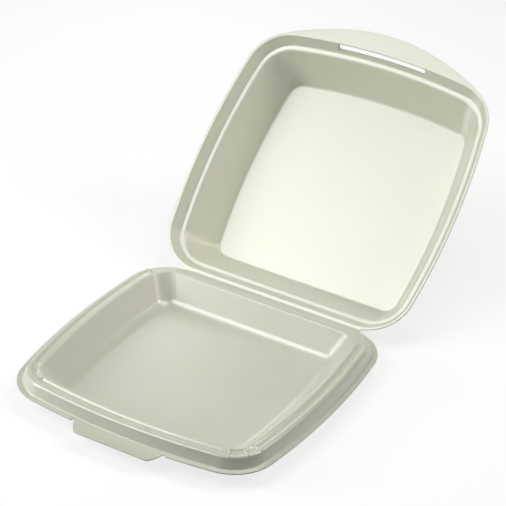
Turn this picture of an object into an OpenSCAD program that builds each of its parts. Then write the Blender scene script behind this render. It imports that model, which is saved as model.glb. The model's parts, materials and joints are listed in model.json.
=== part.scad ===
// Meal box with a hinged lid, pressed from one sheet of foamed polystyrene.
// Front at -Y, fold at +Y, table at z = 0. Millimetres.

/* [Plan] */
// Width over the flange
box_w = 240; // [210:1:280]
// Depth over the flange, from the front to the fold side
box_d = 231.5; // [200:0.5:270]
// Radius of the bowed left and right sides
side_bow_r = 585; // [500:5:1500]
// How far behind the middle the left and right sides are widest
side_widest_y = 8; // [0:1:12]
// Radius of the bowed front side
front_bow_r = 555; // [500:5:1500]
// Corner radius at the edge of the flange
corner_r = 38; // [34:1:50]
// Corner radius that the walls narrow towards
inner_corner_r = 7; // [5:0.5:10]

/* [Sheet] */
// Thickness of the foamed sheet
sheet = 2.2; // [1.6:0.1:2.6]
// Thickness left at the trimmed edge
trimmed = 1.1; // [0.7:0.1:1.6]
// Thickness left where the sheet is coined at the fold
coined = 0.7; // [0.4:0.1:1.2]

/* [Tray] */
// Height of the fold above the table
fold_z = 15.3; // [13:0.1:22]
// Width of the flat flange
flange_w = 4.2; // [3.5:0.1:4.6]
// Height of the raised rim above the flange
rim_h = 9.2; // [8:0.1:10]
// Inset of the rim's outer edge
rim_inset = 8.4; // [8:0.1:9.5]
// Inset of the tray's mouth
mouth_inset = 20.2; // [19:0.1:22]
// Depth of the groove pressed along the rim, and width of its slopes
groove = 1.4; // [0.8:0.1:1.6]
// Slope of the tray's walls from upright, in degrees
tray_draft = 36; // [20:1:38]
// Bend radius between the tray's walls and floor
floor_bend_r = 13; // [7:1:14]

/* [Lid] */
// Inside depth of the lid below its flange
lid_depth = 45.4; // [40:0.1:60]
// Clearance between the closed lid and the tray's rim
rim_gap = 0.8; // [0.5:0.1:1.5]
// Inset of the ledge that sits over the rim
ledge_inset = 6.6; // [6:0.1:7]
// Inset of the lid's wall at the ledge
lid_wall_inset = 11.3; // [11:0.1:14]
// Inset of the flat panel
panel_inset = 28.6; // [20:0.1:32]
// Bend radius between the lid's walls and panel
panel_bend_r = 3; // [2:0.5:12]

/* [Closure] */
// Half width of the tray's tab
tab_half = 39.5; // [25:0.5:41]
// How far the tab stands out from the flange
tab_out = 9; // [5:0.5:12]
// How far the tab hangs at its tip
tab_hang = 1.2; // [0:0.1:3]
// How far the lid's lip stands out at its middle
lip_out = 15; // [12:0.5:20]
// Half width of the lip
lip_half = 92; // [75:1:95]
// Half width of the slot in the lid's skirt
slot_half = 41.5; // [40:0.5:46]

/* [Fold] */
// Half width of the fold that joins lid and tray
fold_half = 84; // [60:1:88]
// Distance of the fold line from the flange's own edge
fold_reach = 1.6; // [1:0.1:2.5]

/* [Hidden] */
half_w = box_w / 2;
half_d = box_d / 2;
fold_y = half_d + fold_reach;
// Half the play across the fold line, and between the two closed flanges
fold_play = 0.15;
flange_play = 0.2;
// Width of the ridge along the rim's outer edge and of the crest beside the mouth
ridge_w = 1.3 * sheet;
crest_w = 1.35 * sheet;
// The notch beside each end of the tab, and how far the tab's root line lies inside the bowed front
notch_w = 3;
notch_deep = 1.8;
tab_root = 1.4;
// Width of the tab's slanted ends, and the power of the curve that the lip's edge follows
tab_end = 9;
lip_power = 1.15;
// Inset at which the corners stop being true offsets of the flange's corner
true_offset = 19;
// Segments of a pressed bend, of a wall bend, of a bowed side and of a plain corner
press_steps = 2;
bend_steps = 5;
side_steps = 7;
corner_steps = 7;

// Plane geometry

function unit(v) = v / norm(v);
function right_of(v) = [v.y, -v.x] / norm(v);
function turn(a, b) = sign(a.x * b.y - a.y * b.x);
function reversed(list) = [for (i = [len(list) - 1 : -1 : 0]) list[i]];
function shares(n) = [for (i = [1 : n - 1]) i / n];
function arc(mid, r, from, to, shares) = [for (s = shares)
  let (t = from + (to - from) * s)
  mid + r * [cos(t), sin(t)]];

// An arc of radius r in the corner a, b, c, or the corner itself where r is 0
function bend(a, b, c, r, steps) =
  r == 0 ? [b] :
  let (
    u = unit(a - b),
    v = unit(c - b),
    half = acos(u * v) / 2,
    mid = b + unit(u + v) * r / sin(half),
    start = b + u * r / tan(half) - mid,
    sweep = (180 - 2 * half) * turn(b - a, c - b)
  )
  [for (i = [0 : steps])
    let (t = sweep * i / steps)
    mid + [start.x * cos(t) - start.y * sin(t), start.x * sin(t) + start.y * cos(t)]];

// Sections of the sheet: corners are [inset, height, bend radius, bend segments]

function place(q) = [q[0], q[1]];
function section(p) = [for (i = [0 : len(p) - 1])
  each (i == 0 || i == len(p) - 1
    ? [place(p[i])]
    : bend(place(p[i - 1]), place(p[i]), place(p[i + 1]), p[i][2], p[i][3]))];

// The sheet's other face: the same section moved to its right by t
function other_face(p, t) = [for (i = [0 : len(p) - 1])
  let (
    before = place(p[max(i, 1)]) - place(p[max(i, 1) - 1]),
    after = place(p[min(i + 1, len(p) - 1)]) - place(p[min(i, len(p) - 2)]),
    n = right_of(before) + right_of(after),
    moved = place(p[i]) + n * 2 * t / (n * n),
    r = p[i][2] == 0 ? 0 : max(p[i][2] + t * turn(before, after), 0.3)
  )
  [moved.x, moved.y, r, p[i][3]]];

// Plan outline of the box

// Corner radius at an inset: a true offset round the rim, easing to the inner radius down the walls
function corner_at(d) =
  let (
    r = corner_r - true_offset,
    span = r - inner_corner_r
  )
  d < true_offset ? corner_r - d : inner_corner_r + span * exp((true_offset - d) / span);

// Bowed front and sides, straight fold side and round corners, from the middle of the front
// round the right side to the middle of the fold side, and back round the left side.
// fronts are the places along the front, corners the shares of each corner arc, that get a point.
function outline(d, fronts, corners) =
  let (
    r = corner_at(d),
    side_mid = [half_w - side_bow_r, side_widest_y],
    front_mid = [0, front_bow_r - half_d],
    side_r = side_bow_r - d - r,
    front_r = front_bow_r - d - r,
    v = front_mid - side_mid,
    along = (side_r * side_r - front_r * front_r + v * v) / (2 * norm(v)),
    near = side_mid + unit(v) * along + right_of(v) * sqrt(side_r * side_r - along * along),
    far_y = half_d - d - r,
    past = far_y - side_mid.y,
    far = [side_mid.x + sqrt(side_r * side_r - past * past), far_y],
    front_end = atan2(near.y - front_mid.y, near.x),
    side_start = atan2(near.y - side_mid.y, near.x - side_mid.x),
    side_end = atan2(past, far.x - side_mid.x),
    right = concat(
      [for (x = fronts)
        let (t = asin(x / front_bow_r) - 90)
        front_mid + (front_bow_r - d) * [cos(t), sin(t)]],
      arc(near, r, front_end, side_start, corners),
      arc(side_mid, side_bow_r - d, side_start, side_end, shares(side_steps)),
      arc(far, r, side_end, 90, corners),
      [for (s = [2 / 3, 1 / 3, 0]) [far.x * s, half_d - d]]
    )
  )
  concat(right, [for (i = [len(right) - 2 : -1 : 1]) [-right[i].x, right[i].y]]);

// The flange's edge is drawn out to the fold line along the fold
function at_fold(p) = p.y > half_d * 0.9 && abs(p.x) < fold_half;
function folded(p) = at_fold(p) ? [p.x, fold_y - fold_play] : p;
function at_front(p) = p.y < -half_d * 0.8;

// Closed skin over rings of points, from the middle of the upper face out to the edge and back in.
// slot is [ring on the upper face, ring on the lower, columns each side of the front's middle]:
// there the skin is left open and the two faces are joined round the opening.
module skin(rings, slot = [-1, -1, 0]) {
  n = len(rings[0]);
  last = len(rings) - 1;
  a = slot[0];
  b = slot[1];
  columns = [for (j = [0 : n - 1]) j];
  cut = [for (j = columns) j < slot[2] || j >= n - slot[2]];
  function at(k, j) = k * n + j % n;
  function quad(p, q, r, s) = [[p, q, r], [p, r, s]];
  function middle(ring) = [0, (ring[0].y + ring[n / 2].y) / 2, ring[0].z];
  points = concat([for (ring = rings) each ring], [middle(rings[0]), middle(rings[last])]);
  strips = [for (k = [0 : last - 1], j = columns)
    if (!cut[j] || (k != a && k != b))
      each quad(at(k, j), at(k, j + 1), at(k + 1, j + 1), at(k + 1, j))];
  slot_sides = [for (j = columns)
    if (cut[j])
      each concat(
        quad(at(b, j), at(b, j + 1), at(a + 1, j + 1), at(a + 1, j)),
        quad(at(a, j), at(a, j + 1), at(b + 1, j + 1), at(b + 1, j))
      )];
  slot_ends = slot[2] == 0 ? [] : concat(
    quad(at(a, slot[2]), at(a + 1, slot[2]), at(b, slot[2]), at(b + 1, slot[2])),
    quad(at(a, n - slot[2]), at(b + 1, n - slot[2]), at(b, n - slot[2]), at(a + 1, n - slot[2]))
  );
  caps = [for (j = columns) each [
    [len(points) - 2, at(0, j + 1), at(0, j)],
    [len(points) - 1, at(last, j), at(last, j + 1)]
  ]];
  polyhedron(points, concat(strips, slot_sides, slot_ends, caps));
}

// Tray

rim_z = fold_z + rim_h;
tray_flange_z = fold_z - flange_play;
ridge_inset = rim_inset + ridge_w;
crest_inset = mouth_inset - crest_w;
foot_inset = mouth_inset + (rim_z - sheet) * tan(tray_draft);
tray_section = [
  [0, tray_flange_z, 0, 0],
  [flange_w, tray_flange_z, 1.2, press_steps],
  [rim_inset, rim_z, 1.2, press_steps],
  [ridge_inset, rim_z, 1, 1],
  [ridge_inset + groove, rim_z - groove, 1.2, 1],
  [crest_inset - groove, rim_z - groove, 1.2, 1],
  [crest_inset, rim_z, 1, 1],
  [mouth_inset, rim_z, 2.2, press_steps + 1],
  [foot_inset, sheet, floor_bend_r, bend_steps],
  [foot_inset + floor_bend_r, sheet, 0, 0]
];
// Places along the front, as shares of the tab's half width and then past its end
tray_fronts = concat(
  [for (s = [0, 0.3, 0.6, 0.77, 0.84, 0.9, 0.95, 0.998]) s * tab_half],
  [for (past = [0.6, 2.6, 3.2, 14, 26, 36]) tab_half + past]
);
// Shares of each corner arc: three ribs cross the rim's groove there, each between two plain places
tray_corners = [0, 0.085, 0.12, 0.155, 0.31, 0.465, 0.5, 0.535, 0.69, 0.845, 0.88, 0.915, 1];
ribs = [0.12, 0.5, 0.88];
tray_ribs = concat(
  [for (x = tray_fronts) false],
  [for (s = tray_corners) len(search(s, ribs)) > 0],
  [for (s = shares(side_steps)) false],
  [for (s = tray_corners) len(search(s, ribs)) > 0],
  [false, false, false]
);

// The tab: a straight front edge, slanted ends with round corners, and a notch beside each end
function tab_share(p) =
  at_front(p) && abs(p.x) < tab_half
    ? 1 - pow(max(1 - (tab_half - abs(p.x)) / tab_end, 0), 2)
    : 0;
function tabbed(p) =
  !at_front(p) || abs(p.x) > tab_half + notch_w ? p :
  abs(p.x) > tab_half ? [p.x, p.y + notch_deep] :
  [p.x, tab_root - half_d - tab_share(p) * (tab_out + tab_root)];

module tray() {
  upper = section(tray_section);
  under = section(other_face(tray_section, sheet));
  half = len(tray_ribs) - 1;
  function ribbed(s, j) =
    s.x > ridge_inset && s.x < crest_inset && tray_ribs[j > half ? 2 * half - j : j];
  // A ring of the tray at section point s; the flange's edge has the tab and the fold
  function ring(s) =
    let (line = outline(s.x, tray_fronts, tray_corners))
    [for (j = [0 : len(line) - 1]) [line[j].x, line[j].y, ribbed(s, j) ? rim_z : s.y]];
  function edge_ring(z, fold_edge_z) = [for (p = outline(0, tray_fronts, tray_corners))
    let (q = folded(tabbed(p)))
    [q.x, q.y, at_fold(p) ? fold_edge_z : z - tab_hang * tab_share(p)]];
  color([0.93, 0.92, 0.86])
    skin(concat(
      reversed([for (i = [1 : len(upper) - 1]) ring(upper[i])]),
      [edge_ring(tray_flange_z, tray_flange_z)],
      [edge_ring(tray_flange_z - trimmed, tray_flange_z - coined)],
      [for (i = [1 : len(under) - 1])
        let (line = outline(under[i].x, tray_fronts, tray_corners))
        [for (p = line) [p.x, p.y, under[i].y]]]
    ));
}

// Lid, drawn closed with heights above the fold, then opened

ledge_h = rim_h + rim_gap;
lid_flange_in = 1.6;
lid_overhang = 0.6;
ledge_rise = 0.3;
function skirt_at(share) = [
  lid_flange_in + (ledge_inset - lid_flange_in) * share,
  flange_play + (ledge_h - flange_play) * share, 0, 0
];
lid_section = [
  [-lid_overhang, flange_play, 0, 0],
  [lid_flange_in, flange_play, 0.8, press_steps],
  skirt_at(0.12),
  skirt_at(0.68),
  [ledge_inset, ledge_h, 1.5, press_steps],
  [lid_wall_inset, ledge_h + ledge_rise, 2.5, press_steps + 1],
  [panel_inset, lid_depth, panel_bend_r, bend_steps],
  [panel_inset + panel_bend_r, lid_depth, 0, 0]
];
slot_ring = press_steps + 2;
lid_fronts = concat(
  [for (s = [0, 1 / 3, 2 / 3, 1]) s * slot_half],
  [for (past = [11, 22, 33]) slot_half + past]
);
lid_corners = concat([0], shares(corner_steps), [1]);

// The lid leans back until the bend of its wall and panel rests on the table
lid_wall = place(lid_section[6]) - place(lid_section[5]);
bend_mid = [
  fold_reach + panel_inset + panel_bend_r * tan(atan2(lid_wall.y, lid_wall.x) / 2),
  lid_depth - panel_bend_r
];
open_angle = atan2(bend_mid.x, bend_mid.y) + acos((panel_bend_r + sheet - fold_z) / norm(bend_mid));

// The lip: a shallow arc that stands out from corner to corner along the front
function lipped(p) =
  at_front(p) && abs(p.x) < lip_half
    ? [p.x, p.y - lip_out * pow(1 - pow(p.x / lip_half, 2), lip_power)]
    : p;

module lid() {
  inner = section(lid_section);
  outer = section(other_face(lid_section, -sheet));
  function ring(s) = [for (p = outline(s.x, lid_fronts, lid_corners)) [p.x, p.y, s.y]];
  function edge_ring(z, fold_edge_z) = [for (p = outline(-lid_overhang, lid_fronts, lid_corners))
    let (q = folded(lipped(p)))
    [q.x, q.y, at_fold(p) ? fold_edge_z : z]];
  color([0.95, 0.94, 0.89])
    translate([0, fold_y, fold_z])
      rotate([-open_angle, 0, 0])
        translate([0, -fold_y, 0])
          skin(
            concat(
              reversed([for (i = [1 : len(outer) - 1]) ring(outer[i])]),
              [edge_ring(flange_play + trimmed, flange_play + coined)],
              [edge_ring(flange_play, flange_play)],
              [for (i = [1 : len(inner) - 1]) ring(inner[i])]
            ),
            [len(outer) - 2 - slot_ring, len(outer) + slot_ring, 3]
          );
}

tray();
lid();
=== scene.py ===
import json
import math

import bmesh
import bpy
from mathutils import Matrix, Vector


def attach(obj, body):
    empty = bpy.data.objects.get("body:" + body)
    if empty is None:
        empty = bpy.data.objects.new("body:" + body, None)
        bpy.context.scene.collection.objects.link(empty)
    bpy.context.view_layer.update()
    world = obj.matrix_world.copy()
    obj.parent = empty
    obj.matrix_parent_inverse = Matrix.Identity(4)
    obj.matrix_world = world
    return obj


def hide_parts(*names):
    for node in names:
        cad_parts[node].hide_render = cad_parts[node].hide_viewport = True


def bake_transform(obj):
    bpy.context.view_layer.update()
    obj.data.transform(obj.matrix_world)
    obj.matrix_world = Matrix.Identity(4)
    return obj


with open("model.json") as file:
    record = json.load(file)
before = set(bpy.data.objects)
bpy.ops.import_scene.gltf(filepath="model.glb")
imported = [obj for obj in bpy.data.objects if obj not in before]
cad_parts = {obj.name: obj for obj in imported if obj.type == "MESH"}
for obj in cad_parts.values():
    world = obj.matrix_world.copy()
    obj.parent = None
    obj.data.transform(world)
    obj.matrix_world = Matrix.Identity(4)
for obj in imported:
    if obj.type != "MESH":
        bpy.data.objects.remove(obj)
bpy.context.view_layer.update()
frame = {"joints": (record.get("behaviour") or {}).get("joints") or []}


# Tray
# The lower half of one sheet of foamed polystyrene, heated and pressed between two moulds. A flat
# flange with a tab, a sloping skirt, a rim with a shallow groove and a bowl with sloping walls all
# follow the same plan: bowed front and sides, a straight fold side and round corners.

mm = 0.001
sheet = 2.2
trimmed = 1.1
coined = 0.7
hinge = frame["joints"][0]
fold_y, fold_z = hinge["pos_m"][1] / mm, hinge["pos_m"][2] / mm
half_w = 120.0
half_d = 115.75
side_bow = 585.0
side_widest_y = 8.0
front_bow = 555.0
side_centre = Vector((half_w - side_bow, side_widest_y))
front_centre = Vector((0, front_bow - half_d))
flange_corner = 38.0
inner_corner = 7.0
true_offset = 19.0
fold_half = 84.0
fold_play = 0.15
flange_play = 0.2
least_bend = 0.3
cut_softness = 0.3
hair = 1e-3

# The plan's loops are numbered from these on the sheet's upper and under face; other edges have no loop.
upper_first, under_first, no_loop = 1, 50, -1


def corner_radius(inset):
    """A true offset of the flange's corner round the rim, then easing to the inner radius down the walls."""
    if inset < true_offset:
        return flange_corner - inset
    span = flange_corner - true_offset - inner_corner
    return inner_corner + span * math.exp((true_offset - inset) / span)


def corner_centres(inset):
    """Centres of the front and the fold-side corner arcs of the right half, at an inset from the flange."""
    r = corner_radius(inset)
    side_r, front_r = side_bow - inset - r, front_bow - inset - r
    between = front_centre - side_centre
    along = (side_r ** 2 - front_r ** 2 + between.length_squared) / (2 * between.length)
    across = Vector((between.y, -between.x)).normalized()
    near = side_centre + between.normalized() * along + across * math.sqrt(side_r ** 2 - along ** 2)
    far_y = half_d - inset - r
    far = Vector((side_centre.x + math.sqrt(side_r ** 2 - (far_y - side_centre.y) ** 2), far_y))
    return near, far


def half_loop(bm, inset, height, stops, steps):
    """Right half of the plan at one inset and height, from the middle of the front to that of the fold.

    stops are places along the front that need a point, with the steps up to each.
    """
    near, far = corner_centres(inset)
    front_end = (near - front_centre).angle_signed(Vector((0, -1)))
    side_start = (near - side_centre).angle_signed(Vector((1, 0)))
    side_end = (far - side_centre).angle_signed(Vector((1, 0)))
    arcs = []
    last = 0.0
    for x, count in stops:
        reached = math.asin(x / front_bow)
        arcs.append((front_centre, reached - last, count))
        last = reached
    arcs.append((front_centre, front_end - last, steps["front"]))
    arcs.append((near, math.pi / 2 + side_start - front_end, steps["corner"]))
    arcs.append((side_centre, side_end - side_start, steps["side"]))
    arcs.append((far, math.pi / 2 - side_end, steps["corner"]))
    end = bm.verts.new((0, front_centre.y - front_bow + inset, height))
    for centre, angle, count in arcs:
        swept = bmesh.ops.spin(bm, geom=[end], cent=(*centre, height), axis=(0, 0, 1),
                               angle=angle, steps=count)
        end = next(g for g in swept["geom_last"] if isinstance(g, bmesh.types.BMVert))
    for step in range(steps["fold"] - 1, -1, -1):
        drawn_on = bmesh.ops.extrude_vert_indiv(bm, verts=[end])
        end = drawn_on["verts"][0]
        end.co.x = far.x * step / steps["fold"]


def other_face(section, thickness):
    """The sheet's other face: the same bends moved square to the section, with their radii to suit."""
    moved = []
    for i, (inset, height, radius) in enumerate(section):
        here = Vector((inset, height))
        before = here - Vector(section[i - 1][:2]) if i else None
        after = Vector(section[i + 1][:2]) - here if i < len(section) - 1 else None
        before, after = before or after, after or before
        square = [Vector((v.y, -v.x)).normalized() for v in (before, after)]
        both = square[0] + square[1]
        turn = math.copysign(1, before.x * after.y - before.y * after.x)
        place = here + both * 2 * thickness / both.length_squared
        moved.append((place.x, place.y, max(radius + thickness * turn, least_bend) if radius else 0))
    return moved


def pressed_face(bm, section, first, stops, steps):
    """One face of the sheet's right half: the section's loops joined from the cut edge to the middle."""
    ring, strip = bm.edges.layers.int["ring"], bm.faces.layers.int["strip"]
    for k, (inset, height, radius) in enumerate(section):
        half_loop(bm, inset, height, stops, steps)
        for e in bm.edges:
            e[ring] = e[ring] or first + k
        if k == 0:
            continue
        pair = [e for e in bm.edges if e[ring] in (first + k - 1, first + k)]
        for f in bmesh.ops.bridge_loops(bm, edges=pair)["faces"]:
            f[strip] = first + k - 1
        for e in bm.edges:
            e[ring] = e[ring] or no_loop
    inner = [e for e in bm.edges if e[ring] == first + len(section) - 1]
    ends = [v for e in inner for v in e.verts if abs(v.co.x) < hair]
    middle = bmesh.ops.contextual_create(bm, geom=ends)["edges"]
    bmesh.ops.contextual_create(bm, geom=inner + middle)
    for e in middle:
        e[ring] = no_loop
    bmesh.ops.recalc_face_normals(bm, faces=bm.faces[:])


def pressed_sheet(upper, under, stops, steps):
    """Both faces of the sheet's right half, closed along the cut edge."""
    bm = bmesh.new()
    ring = bm.edges.layers.int.new("ring")
    bm.faces.layers.int.new("strip")
    pressed_face(bm, upper, upper_first, stops, steps)
    pressed_face(bm, under, under_first, stops, steps)
    edges = [e for e in bm.edges if e[ring] in (upper_first, under_first)]
    for f in bmesh.ops.bridge_loops(bm, edges=edges)["faces"]:
        f.material_index = 1
    for e in bm.edges:
        e[ring] = e[ring] or no_loop
    return bm


def bend_segments(radius, turn):
    """Finer steps on wide bends: one for each 12 degrees and each 4 mm of radius, and at least three."""
    return max(3, round(math.degrees(turn) / 12 + radius / 4))


def round_bends(bm, upper, under):
    """Rounds each pressed bend of both faces to its radius."""
    ring = bm.edges.layers.int["ring"]
    bmesh.ops.recalc_face_normals(bm, faces=bm.faces[:])
    for section, first in ((upper, upper_first), (under, under_first)):
        for k in range(1, len(section) - 1):
            inset, height, radius = section[k]
            if not radius:
                continue
            before = Vector((inset - section[k - 1][0], height - section[k - 1][1]))
            after = Vector((section[k + 1][0] - inset, section[k + 1][1] - height))
            turn = before.angle(after)
            bend = [e for e in bm.edges if e[ring] == first + k]
            bmesh.ops.bevel(bm, geom=bend, offset=radius * math.tan(turn / 2), offset_type="OFFSET",
                            segments=bend_segments(radius, turn), profile=0.5, affect="EDGES",
                            material=-1, clamp_overlap=False)


def soften_cut(bm, edge_loops):
    """Softens the edges that the trimming knife left."""
    ring = bm.edges.layers.int["ring"]
    edges = [e for e in bm.edges if e[ring] in edge_loops]
    bmesh.ops.bevel(bm, geom=edges, offset=cut_softness, offset_type="OFFSET", segments=2, profile=0.5,
                    affect="EDGES", material=-1, clamp_overlap=False)


def at_front(p):
    """Whether a point is in the front tenth of the plan."""
    return p.y < -half_d * 0.8


def at_fold(p):
    """Whether a point is on the stretch of the fold side that the crease joins."""
    return p.y > half_d * 0.9 and abs(p.x) < fold_half


def mark_walls(bm):
    """Notes each point's place round the plan and the steepness there, for the lines in the skin."""
    near, far = corner_centres(0)
    round_plan, steep = bm.verts.layers.float.new("round_plan"), bm.verts.layers.float.new("steep")
    level, level_span = 0.95, 0.25
    bm.normal_update()
    turn = flange_corner * math.pi / 2
    for v in bm.verts:
        x, y = abs(v.co.x), v.co.y
        if y > far.y:
            place = min(x, far.x) + flange_corner * math.atan2(max(x - far.x, 0), y - far.y)
        elif y > near.y:
            place = far.x + turn + far.y - y
        else:
            angle = math.atan2(near.y - y, x - near.x) if x > near.x else math.pi / 2
            place = far.x + turn + far.y - near.y + flange_corner * angle + max(near.x - x, 0)
        v[round_plan] = math.copysign(place, v.co.x)
        v[steep] = min(max((level - abs(v.normal.z)) / level_span, 0), 1)


def finished(bm, name, place, edge_loops):
    """Mirrors the half, softens its cut edges, puts the piece in its place and makes its object."""
    bmesh.ops.mirror(bm, geom=bm.verts[:] + bm.edges[:] + bm.faces[:], axis="X", merge_dist=hair)
    bmesh.ops.recalc_face_normals(bm, faces=bm.faces[:])
    soften_cut(bm, edge_loops)
    bmesh.ops.recalc_face_normals(bm, faces=bm.faces[:])
    mark_walls(bm)
    bmesh.ops.transform(bm, matrix=Matrix.Scale(mm, 4) @ place, verts=bm.verts[:])
    mesh = bpy.data.meshes.new(name)
    bm.to_mesh(mesh)
    bm.free()
    mesh.shade_smooth()
    piece = bpy.data.objects.new(name, mesh)
    bpy.context.scene.collection.objects.link(piece)
    normals = piece.modifiers.new("flat_faces_stay_flat", "WEIGHTED_NORMAL")
    normals.keep_sharp = True
    return piece


flange_w = 4.2
flange_bend = 1.2
rim_h = 9.2
rim_inset = 8.4
rim_bend = 3.0
mouth_inset = 20.2
mouth_bend = 2.2
ridge_w = 1.3 * sheet
crest_w = 1.1 * sheet
groove = 1.4
groove_lip = 1.0
groove_bend = 1.2
groove_margin = 0.2
tray_draft = math.radians(36)
floor_bend = 13.0
tab_half = 39.5
tab_out = 9.0
tab_end = 9.0
tab_root = 1.4
tab_hang = 1.2
notch_w = 3.0
notch_deep = 1.8

rim_z = fold_z + rim_h
tray_flange_z = fold_z - flange_play
ridge_inset = rim_inset + ridge_w
crest_inset = mouth_inset - crest_w
foot_inset = mouth_inset + (rim_z - sheet) * math.tan(tray_draft)
tray_upper = [
    (0, tray_flange_z, 0),
    (flange_w, tray_flange_z, flange_bend),
    (rim_inset, rim_z, rim_bend),
    (ridge_inset, rim_z, groove_lip),
    (ridge_inset + groove, rim_z - groove, groove_bend),
    (crest_inset - groove, rim_z - groove, groove_bend),
    (crest_inset, rim_z, groove_lip),
    (mouth_inset, rim_z, mouth_bend),
    (foot_inset, sheet, floor_bend),
    (foot_inset + floor_bend, sheet, 0),
]
tray_under = other_face(tray_upper, sheet)
tray_stops = [(tab_half - tab_end, 13), (tab_half, 24), (tab_half + notch_w, 8)]
tray_steps = {"front": 22, "corner": 64, "side": 60, "fold": 44}


def tab_share(x):
    """How far the tab stands out at a place along the front, from 0 at its ends to 1."""
    return 1 - max(1 - (tab_half - abs(x)) / tab_end, 0) ** 2 if abs(x) < tab_half else 0


def draw_out_tab(bm):
    """The flange's edge: the tab at the front, a notch beside it, and the thin coined edge at the fold."""
    ring = bm.edges.layers.int["ring"]
    for first, edge_z in ((upper_first, tray_flange_z), (under_first, tray_flange_z - coined)):
        for v in {v for e in bm.edges if e[ring] == first for v in e.verts}:
            if at_fold(v.co):
                v.co.y = fold_y - fold_play
                v.co.z = edge_z
                continue
            if first == under_first:
                v.co.z = tray_flange_z - trimmed
            if at_front(v.co) and abs(v.co.x) < tab_half + hair:
                share = tab_share(v.co.x)
                v.co.y = tab_root - half_d - share * (tab_out + tab_root)
                v.co.z -= tab_hang * share
            elif at_front(v.co) and abs(v.co.x) < tab_half + notch_w - hair:
                v.co.y += notch_deep


def eased(share):
    """Eases a share between 0 and 1 at both ends."""
    return share * share * (3 - 2 * share)


groove_fade = math.radians(60)
fade_from, fade_to = rim_inset + 0.8, crest_inset + 0.6


def run_out_groove(bm):
    """The groove fades out round the fold side's corners."""
    far = corner_centres(0)[1]
    for v in bm.verts:
        out = Vector((max(v.co.x - far.x, 0), v.co.y - far.y))
        on_rim = fade_from < flange_corner - out.length < fade_to and v.co.z > rim_z - groove - groove_margin
        if out.y > 0 and on_rim:
            share = max(1 - math.atan2(out.x, out.y) / groove_fade, 0)
            v.co.z += (rim_z - v.co.z) * eased(share)


rib_half = 0.85
rib_proud = 0.35
rib_from, rib_to = rim_inset - 0.3, mouth_inset - 0.8
corner_ribs = ((0.22, 0.64, 0.96), (0.2,))
near, far = corner_centres(0)
corner_angles = [math.atan2(*reversed(near - front_centre)), math.atan2(*reversed(near - side_centre)),
                 math.atan2(*reversed(far - side_centre)), math.pi / 2]


def raise_ribs(bm):
    """Short ribs that cross the groove: three at each front corner and one at each fold-side corner."""
    rim = [v for v in bm.verts if v.co.z > rim_z - groove - groove_margin]
    corners = zip(corner_centres(0), corner_ribs, corner_angles[0::2], corner_angles[1::2])
    for centre, shares, start, end in corners:
        for share in shares:
            angle = start + (end - start) * share
            along = Vector((math.cos(angle), math.sin(angle)))
            for v in rim:
                out = Vector((v.co.x, v.co.y)) - centre
                aside = abs(out.x * along.y - out.y * along.x)
                if aside < rib_half and rib_from < flange_corner - out.dot(along) < rib_to:
                    crown = (1 + math.cos(math.pi * aside / rib_half)) / 2
                    v.co.z += (rim_z + rib_proud - v.co.z) * crown


fold_slope = 2.7
slope_start, slope_blend = math.radians(100), math.radians(50)


def slope_to_fold(bm):
    """Along the fold and round its corners the rim slopes down from its inner crest to the outer edge."""
    far = corner_centres(0)[1]
    for v in bm.verts:
        out = Vector((max(v.co.x - far.x, 0), v.co.y - far.y))
        across = (crest_inset - flange_corner + out.length) / (crest_inset - rim_inset)
        if across > 0:
            share = min(max((slope_start - math.atan2(out.x, out.y)) / slope_blend, 0), 1)
            up = min(max((v.co.z - tray_flange_z) / rim_h, 0), 1)
            v.co.z -= fold_slope * eased(share) * min(across, 1) * up


shell = pressed_sheet(tray_upper, tray_under, tray_stops, tray_steps)
draw_out_tab(shell)
round_bends(shell, tray_upper, tray_under)
run_out_groove(shell)
raise_ribs(shell)
slope_to_fold(shell)
tray = finished(shell, "tray_shell", Matrix.Identity(4), (upper_first, under_first))


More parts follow.
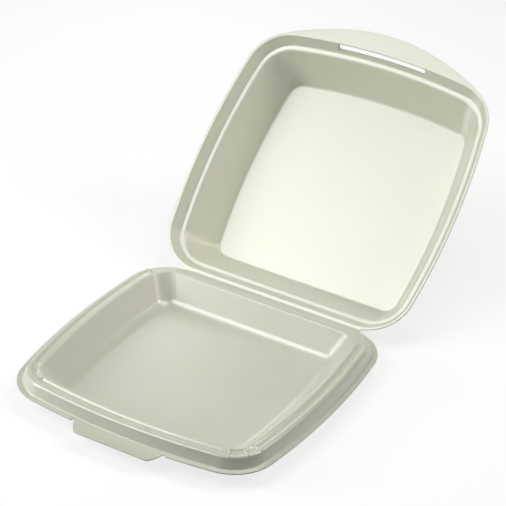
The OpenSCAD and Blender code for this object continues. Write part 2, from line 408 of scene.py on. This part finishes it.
def foam_skin(name, colour, roughness, coat):
    """Satin skin of pressed foam: soft cells under it, faint clouds and waves, lines down the walls."""
    cloud_shade = 0.93
    gloss_play = 0.015
    material = bpy.data.materials.new(name)
    material.use_nodes = True
    nodes, links = material.node_tree.nodes, material.node_tree.links
    shader = nodes["Principled BSDF"]
    shader.inputs["Specular IOR Level"].default_value = 1.0
    shader.inputs["Coat Weight"].default_value = coat
    shader.inputs["Coat IOR"].default_value = 1.8
    shader.inputs["Coat Roughness"].default_value = 0.29
    shader.inputs["Subsurface Weight"].default_value = 0.3
    shader.inputs["Subsurface Radius"].default_value = (0.0018, 0.0016, 0.0011)
    shader.inputs["Subsurface Scale"].default_value = 1.0
    place = nodes.new("ShaderNodeTexCoord")

    def noise(scale, detail):
        """Noise on the piece's own coordinates."""
        made = nodes.new("ShaderNodeTexNoise")
        made.inputs["Scale"].default_value = scale
        made.inputs["Detail"].default_value = detail
        links.new(place.outputs["Object"], made.inputs["Vector"])
        return made

    cloud = noise(scale=22, detail=3)
    tint = nodes.new("ShaderNodeMix")
    tint.data_type = "RGBA"
    tint.inputs["A"].default_value = (*[c * cloud_shade for c in colour], 1)
    tint.inputs["B"].default_value = (*colour, 1)
    links.new(cloud.outputs["Fac"], tint.inputs["Factor"])
    links.new(tint.outputs["Result"], shader.inputs["Base Color"])
    gloss = nodes.new("ShaderNodeMapRange")
    gloss.inputs["To Min"].default_value = roughness - gloss_play
    gloss.inputs["To Max"].default_value = roughness + gloss_play
    links.new(cloud.outputs["Fac"], gloss.inputs["Value"])
    links.new(gloss.outputs["Result"], shader.inputs["Roughness"])

    around = nodes.new("ShaderNodeAttribute")
    around.attribute_name = "round_plan"
    steep = nodes.new("ShaderNodeAttribute")
    steep.attribute_name = "steep"
    drawn_lines = nodes.new("ShaderNodeTexNoise")
    drawn_lines.noise_dimensions = "1D"
    drawn_lines.inputs["Scale"].default_value = 0.45
    drawn_lines.inputs["Detail"].default_value = 3
    links.new(around.outputs["Fac"], drawn_lines.inputs["W"])
    streak = nodes.new("ShaderNodeMath")
    streak.operation = "MULTIPLY"
    links.new(drawn_lines.outputs["Fac"], streak.inputs[0])
    links.new(steep.outputs["Fac"], streak.inputs[1])
    cells = nodes.new("ShaderNodeTexVoronoi")
    cells.inputs["Scale"].default_value = 900
    links.new(place.outputs["Object"], cells.inputs["Vector"])

    def bump(height, distance, strength, under=None):
        """A bump of a height, over the bump under it."""
        made = nodes.new("ShaderNodeBump")
        made.inputs["Distance"].default_value = distance
        made.inputs["Strength"].default_value = strength
        links.new(height, made.inputs["Height"])
        if under:
            links.new(under.outputs["Normal"], made.inputs["Normal"])
        return made

    wave = bump(noise(scale=55, detail=2).outputs["Fac"], distance=0.00025, strength=0.5)
    lines = bump(streak.outputs["Value"], distance=0.00018, strength=0.5, under=wave)
    grain = bump(cells.outputs["Distance"], distance=0.00002, strength=0.4, under=lines)
    links.new(grain.outputs["Normal"], shader.inputs["Normal"])
    return material


skin = foam_skin("foam_skin", colour=(0.87, 0.893, 0.745), roughness=0.30, coat=0.8)
cut_foam = foam_skin("cut_foam", colour=(0.80, 0.79, 0.67), roughness=0.6, coat=0)
for finish in (skin, cut_foam):
    tray.data.materials.append(finish)
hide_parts("tray")
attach(tray, "tray")


# Lid
# The upper half of the same sheet, pressed deeper. Its skirt closes over the tray's rim and has a
# slot for the tab, and its flange is drawn out at the front into a lip for the fingers. It leans
# back on the table on the bend between its wall and its flat panel.

lid_depth = 45.4
rim_gap = 0.8
lid_overhang = 0.6
lid_flange_in = 1.6
lid_flange_bend = 0.8
ledge_inset = 6.6
ledge_bend = 1.5
ledge_rise = 0.3
lid_wall_inset = 11.3
lid_wall_bend = 2.5
panel_inset = 28.6
panel_bend = 3.0
panel_margin = 4 * panel_bend
lip_out = 15.0
lip_half = 92.0
lip_power = 1.15
slot_half = 41.5
slot_low, slot_high = 0.12, 0.68
slot_loop = 98

ledge_h = rim_h + rim_gap


def skirt_at(share):
    """A point on the skirt's inside, by its share of the way from the flange to the ledge."""
    return (lid_flange_in + (ledge_inset - lid_flange_in) * share,
            flange_play + (ledge_h - flange_play) * share, 0)


lid_inner = [
    (-lid_overhang, flange_play, 0),
    (lid_flange_in, flange_play, lid_flange_bend),
    skirt_at(slot_low),
    skirt_at(slot_high),
    (ledge_inset, ledge_h, ledge_bend),
    (lid_wall_inset, ledge_h + ledge_rise, lid_wall_bend),
    (panel_inset, lid_depth, panel_bend),
    (panel_inset + panel_margin, lid_depth, 0),
]
lid_outer = other_face(lid_inner, -sheet)

# On the outside the thin flange runs straight into the skirt.
skirt_foot = lid_outer[2]
lid_outer[1] = ((skirt_foot[0] - lid_overhang) / 2, (skirt_foot[1] + flange_play + trimmed) / 2, 0)
lid_stops = [(slot_half, 30)]
lid_steps = {"front": 24, "corner": 36, "side": 60, "fold": 44}

# The lid leans back until the bend between its wall and its panel lies on the table.
wall_slope = math.atan2(lid_depth - ledge_h - ledge_rise, panel_inset - lid_wall_inset)
bend_mid = Vector((fold_y - half_d + panel_inset + panel_bend * math.tan(wall_slope / 2),
                   lid_depth - panel_bend))
lean = math.atan2(*bend_mid) + math.acos((panel_bend + sheet - fold_z) / bend_mid.length)


def draw_out_lip(bm):
    """The flange's edge with the lip along the front and the thin coined edge at the fold."""
    ring = bm.edges.layers.int["ring"]
    for first, edge_z in ((upper_first, flange_play), (under_first, flange_play + coined)):
        for v in {v for e in bm.edges if e[ring] == first for v in e.verts}:
            if at_fold(v.co):
                v.co.y = fold_y - fold_play
                v.co.z = edge_z
                continue
            if first == under_first:
                v.co.z = flange_play + trimmed
            if at_front(v.co) and abs(v.co.x) < lip_half:
                v.co.y -= lip_out * (1 - (v.co.x / lip_half) ** 2) ** lip_power


def cut_slot(bm):
    """The slot through the skirt, with the sheet's thickness shown round it."""
    ring, strip = bm.edges.layers.int["ring"], bm.faces.layers.int["strip"]
    between_stops = [f for f in bm.faces if f[strip] in (upper_first + 2, under_first + 2)]
    inside = [f for f in between_stops if at_front(f.calc_center_median())
              and abs(f.calc_center_median().x) < slot_half]
    bmesh.ops.delete(bm, geom=inside, context="FACES")
    rim = [e for e in bm.edges if e.is_boundary and max(abs(v.co.x) for v in e.verts) > hair]
    for f in bmesh.ops.bridge_loops(bm, edges=rim)["faces"]:
        f.material_index = 1
    for e in rim:
        e[ring] = slot_loop


shell = pressed_sheet(lid_inner, lid_outer, lid_stops, lid_steps)
draw_out_lip(shell)
cut_slot(shell)
round_bends(shell, lid_inner, lid_outer)
opened = (Matrix.Translation((0, fold_y, fold_z)) @ Matrix.Rotation(-lean, 4, "X")
          @ Matrix.Translation((0, -fold_y, 0)))
lid = finished(shell, "lid_shell", opened, (upper_first, under_first, slot_loop))
for finish in (skin, cut_foam):
    lid.data.materials.append(finish)
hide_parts("lid")
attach(lid, "lid")


# Crease
# The thin web that is left where the sheet is coined between the tray and the lid. It runs on
# inside both edges and is bent through the lid's opening, so that the fold is closed where the lid leans.

web = 0.5
web_in = 1.0
web_half = fold_half - 0.6
web_z = fold_z - flange_play - (coined - web) / 2
web_bend = (fold_y - fold_play, fold_z + fold_play / math.tan((math.pi - lean) / 2))
opening = math.pi - lean

strip = bmesh.new()
ends = [strip.verts.new((side * web_half, fold_y - fold_play - web_in, web_z)) for side in (-1, 1)]
edge = [strip.edges.new(ends)]


def drawn(edges, by):
    """Draws the strip's last edge on by a straight length."""
    made = bmesh.ops.extrude_edge_only(strip, edges=edges)["geom"]
    bmesh.ops.translate(strip, vec=by, verts=[g for g in made if isinstance(g, bmesh.types.BMVert)])
    return [g for g in made if isinstance(g, bmesh.types.BMEdge)]


edge = drawn(edge, (0, web_in, 0))
turned = bmesh.ops.spin(strip, geom=edge, cent=(0, *web_bend), axis=(1, 0, 0), angle=opening, steps=6)
edge = [g for g in turned["geom_last"] if isinstance(g, bmesh.types.BMEdge)]
drawn(edge, (0, web_in * math.cos(opening), web_in * math.sin(opening)))
bmesh.ops.recalc_face_normals(strip, faces=strip.faces[:])
if strip.faces[:][0].normal.z < 0:
    bmesh.ops.reverse_faces(strip, faces=strip.faces[:])
bmesh.ops.solidify(strip, geom=strip.faces[:], thickness=web)
bmesh.ops.recalc_face_normals(strip, faces=strip.faces[:])
bmesh.ops.transform(strip, matrix=Matrix.Scale(mm, 4), verts=strip.verts[:])
crease_mesh = bpy.data.meshes.new("crease")
strip.to_mesh(crease_mesh)
strip.free()
crease = bpy.data.objects.new("crease", crease_mesh)
bpy.context.scene.collection.objects.link(crease)
crease_mesh.materials.append(skin)
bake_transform(crease)


# Studio
# A plain white table under soft lamps: a wide one at the front left, small ones above, behind and
# low at the left, a warm one at the right, and a weak cool fill all round.

table_half = 6
table_shade = 0.34
table_glow = 0.76
bounce_shade = 0.15

table = bpy.data.meshes.new("table")
ground = bmesh.new()
bmesh.ops.create_grid(ground, x_segments=1, y_segments=1, size=table_half)
ground.to_mesh(table)
ground.free()
floor = bpy.data.objects.new("table", table)
bpy.context.scene.collection.objects.link(floor)

white = bpy.data.materials.new("white_table")
white.use_nodes = True
nodes, links = white.node_tree.nodes, white.node_tree.links
nodes.remove(nodes["Principled BSDF"])


def paint(shade):
    """Matt grey paint of one shade."""
    made = nodes.new("ShaderNodeBsdfDiffuse")
    made.inputs["Color"].default_value = (shade, shade, shade, 1)
    return made


# Seen directly or in a reflection the table is white; the light that it throws back is that of grey.
glow = nodes.new("ShaderNodeEmission")
glow.inputs["Strength"].default_value = table_glow
bright = nodes.new("ShaderNodeAddShader")
links.new(paint(table_shade).outputs["BSDF"], bright.inputs[0])
links.new(glow.outputs["Emission"], bright.inputs[1])
path = nodes.new("ShaderNodeLightPath")
seen = path.outputs["Is Camera Ray"]
for ray in ("Is Glossy Ray", "Is Transmission Ray"):
    either = nodes.new("ShaderNodeMath")
    either.operation = "MAXIMUM"
    links.new(seen, either.inputs[0])
    links.new(path.outputs[ray], either.inputs[1])
    seen = either.outputs["Value"]
mix = nodes.new("ShaderNodeMixShader")
links.new(seen, mix.inputs["Fac"])
links.new(paint(bounce_shade).outputs["BSDF"], mix.inputs[1])
links.new(bright.outputs["Shader"], mix.inputs[2])
links.new(mix.outputs["Shader"], nodes["Material Output"].inputs["Surface"])
table.materials.append(white)

world = bpy.data.worlds.new("studio")
bpy.context.scene.world = world
world.use_nodes = True
fill = world.node_tree.nodes["Background"]
fill.inputs["Color"].default_value = (0.56, 0.76, 1.0, 1)
fill.inputs["Strength"].default_value = 0.07

# The point in the middle of the photograph, from the fit of its camera.
aim = Vector((-0.00002, 0.08222, 0.07828))


def soft_lamp(name, direction, distance, size, watts, colour):
    """A round lamp that faces the middle of the picture."""
    lamp = bpy.data.lights.new(name, "AREA")
    lamp.shape = "DISK"
    lamp.size = size
    lamp.energy = watts
    lamp.color = colour
    held = bpy.data.objects.new(name, lamp)
    toward = Vector(direction).normalized()
    held.location = aim + toward * distance
    held.rotation_euler = toward.to_track_quat("Z", "Y").to_euler()
    bpy.context.scene.collection.objects.link(held)


soft_lamp("key", direction=(-0.42, -0.49, 0.765), distance=2.4, size=1.3, watts=17.0,
          colour=(1.0, 1.0, 0.98))
soft_lamp("above", direction=(0.20, 0.14, 0.97), distance=0.6, size=0.35, watts=0.9,
          colour=(1.0, 0.98, 0.95))
soft_lamp("back_left", direction=(-0.574, 0.743, 0.341), distance=0.7, size=0.3, watts=0.35,
          colour=(1.0, 1.0, 0.98))
soft_lamp("lower_left", direction=(-0.77, -0.59, 0.25), distance=0.9, size=0.35, watts=2.9,
          colour=(1.0, 0.98, 0.92))
soft_lamp("right", direction=(0.66, 0.36, 0.66), distance=2.4, size=0.9, watts=15.2,
          colour=(1.0, 0.92, 0.85))

azimuth, elevation, roll = (math.radians(a) for a in (29.119, 31.721, 2.727))
camera_distance = 1.90368
back = Vector((math.sin(azimuth) * math.cos(elevation), -math.cos(azimuth) * math.cos(elevation),
               math.sin(elevation)))
view = bpy.data.cameras.new("view")
view.lens = 168.98
view.sensor_width = 36
view.clip_end = 50
camera = bpy.data.objects.new("view", view)
camera.matrix_world = (Matrix.Translation(aim + back * camera_distance)
                       @ back.to_track_quat("Z", "Y").to_matrix().to_4x4() @ Matrix.Rotation(roll, 4, "Z"))
bpy.context.scene.collection.objects.link(camera)
bpy.context.scene.camera = camera
bpy.context.scene.view_settings.view_transform = "Standard"
